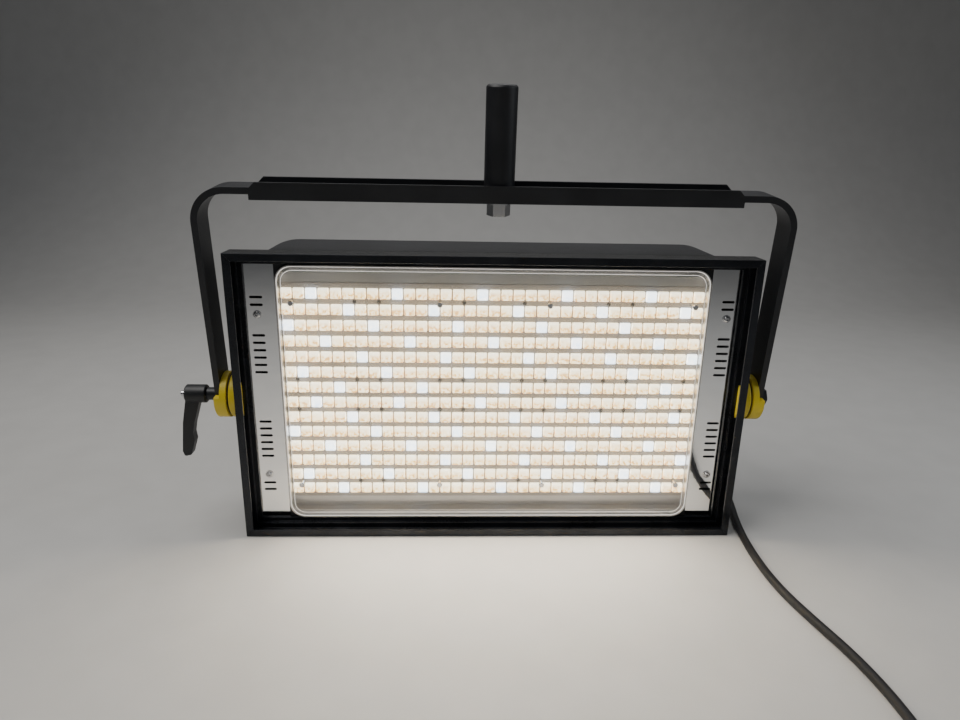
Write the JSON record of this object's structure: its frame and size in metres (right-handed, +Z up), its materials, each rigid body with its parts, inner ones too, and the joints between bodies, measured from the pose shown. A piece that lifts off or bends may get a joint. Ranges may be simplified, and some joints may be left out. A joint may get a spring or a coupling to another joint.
{
  "type": "led panel light",
  "caption": "Rectangular studio LED panel on a black U-shaped yoke with a 28 mm spigot, yellow tilt discs, a clamp lever, an accessory frame and a mains cord.",
  "frame": {"origin": "on the surface the head stands on, straight below the tilt axis, midway between the head's sides", "axes": "+X to the right seen from the lit front, +Y from the lit front to the back, +Z up; the yoke leans 5.9 degrees to the front at rest"},
  "size_m": [0.6165, 0.6324, 0.4457],
  "materials": {
    "frame_black": "black anodised, satin, fine extrusion lines",
    "mirror_plate": "polished sheet",
    "tray_aluminium": "plain bright aluminium",
    "chassis_black": "black powder coat, fine texture",
    "sink_aluminium": "plain extruded aluminium",
    "screw_steel": "bright zinc plated",
    "zinc_steel": "zinc plated",
    "board_white": "white solder mask",
    "lens_warm": "moulded clear lens over a warm white LED, lit",
    "lens_cool": "moulded clear lens over a cool white LED, lit",
    "clear_plastic": "clear sheet",
    "supply_case": "pressed sheet case",
    "circuit_board": "green solder mask",
    "panel_black": "fine moulded grain",
    "socket_nickel": "nickel-plated shells, dark inside",
    "display_glass": "dark tinted window",
    "button_grey": "grey rubber-like caps",
    "rocker_black": "gloss moulded",
    "yellow_plastic": "yellow glass-filled nylon",
    "friction_fibre": "dark friction fibre",
    "yoke_black": "black powder coat",
    "lever_black": "black glass-filled nylon",
    "cord_black": "black rubber sheath",
    "pin_brass": "nickel-brass pins"
  },
  "bodies": {
    "head": {"frame_left": "frame_black", "frame_right": "frame_black", "frame_bottom": "frame_black", "frame_top": "frame_black", "reflector_plate_left": "mirror_plate", "reflector_plate_right": "mirror_plate", "led_tray": "tray_aluminium", "chassis_plate": "chassis_black", "rear_housing": "chassis_black", "rear_cover": "chassis_black", "heat_sink": "sink_aluminium", "plate_screws": "screw_steel", "cover_screws": "screw_steel", "rear_cover_screws": "screw_steel", "pivot_brackets": "zinc_steel", "pivot_nuts": "zinc_steel", "led_board_01": "board_white", "led_board_02": "board_white", "led_board_03": "board_white", "led_board_04": "board_white", "led_board_05": "board_white", "led_board_06": "board_white", "led_board_07": "board_white", "led_board_08": "board_white", "led_board_09": "board_white", "led_board_10": "board_white", "warm_lenses": "lens_warm", "cool_lenses": "lens_cool", "clear_cover": "clear_plastic", "power_supply": "supply_case", "control_board": "circuit_board", "control_panel": "panel_black", "rocker_switch_body": "panel_black", "signal_sockets": "socket_nickel", "display_window": "display_glass", "tilt_disc_inner_left": "yellow_plastic", "tilt_disc_inner_right": "yellow_plastic", "pivot_bolt_right": "yoke_black", "power_cord": "cord_black", "power_cord_coil": "cord_black", "strain_relief": "cord_black", "mains_plug": "cord_black", "plug_pins": "pin_brass"},
    "yoke": {"yoke_bar": "yoke_black", "yoke_channel": "yoke_black", "spigot": "yoke_black", "spigot_nut": "screw_steel", "spigot_washer": "screw_steel", "friction_washers": "friction_fibre", "tilt_disc_outer_left": "yellow_plastic", "tilt_disc_outer_right": "yellow_plastic"},
    "lever_stud": {"lever_stud": "yoke_black", "lever_screw": "screw_steel", "lever_spring": "zinc_steel"},
    "lever_handle": {"clamp_lever": "lever_black"},
    "rocker": {"power_rocker": "rocker_black"},
    "button_1": {"menu_button_1": "button_grey"},
    "button_2": {"menu_button_2": "button_grey"},
    "button_3": {"menu_button_3": "button_grey"},
    "button_4": {"menu_button_4": "button_grey"}
  },
  "joints": [
    {"name": "yoke_tilt", "type": "hinge", "parent": "head", "child": "yoke", "pos_m": [0, 0, 0.1475], "axis": [1, 0, 0], "range_deg": [-96, 84]},
    {"name": "lever_turn", "type": "hinge", "parent": "head", "child": "lever_stud", "pos_m": [-0.29, 0, 0.1475], "axis": [1, 0, 0], "range_deg": [-180, 0]},
    {"name": "lever_lift", "type": "slide", "parent": "lever_stud", "child": "lever_handle", "axis": [-1, 0, 0], "range_m": [0, 0.004], "stiffness_N_per_m": 900, "deforming": ["lever_spring"]},
    {"name": "rocker_press", "type": "hinge", "parent": "head", "child": "rocker", "pos_m": [0.07, 0.073, 0.072], "axis": [0, 0, 1], "range_deg": [-14, 0]},
    {"name": "button_1_press", "type": "slide", "parent": "head", "child": "button_1", "axis": [0, -1, 0], "range_m": [0, 0.0008], "stiffness_N_per_m": 1200},
    {"name": "button_2_press", "type": "slide", "parent": "head", "child": "button_2", "axis": [0, -1, 0], "range_m": [0, 0.0008], "stiffness_N_per_m": 1200},
    {"name": "button_3_press", "type": "slide", "parent": "head", "child": "button_3", "axis": [0, -1, 0], "range_m": [0, 0.0008], "stiffness_N_per_m": 1200},
    {"name": "button_4_press", "type": "slide", "parent": "head", "child": "button_4", "axis": [0, -1, 0], "range_m": [0, 0.0008], "stiffness_N_per_m": 1200}
  ]
}
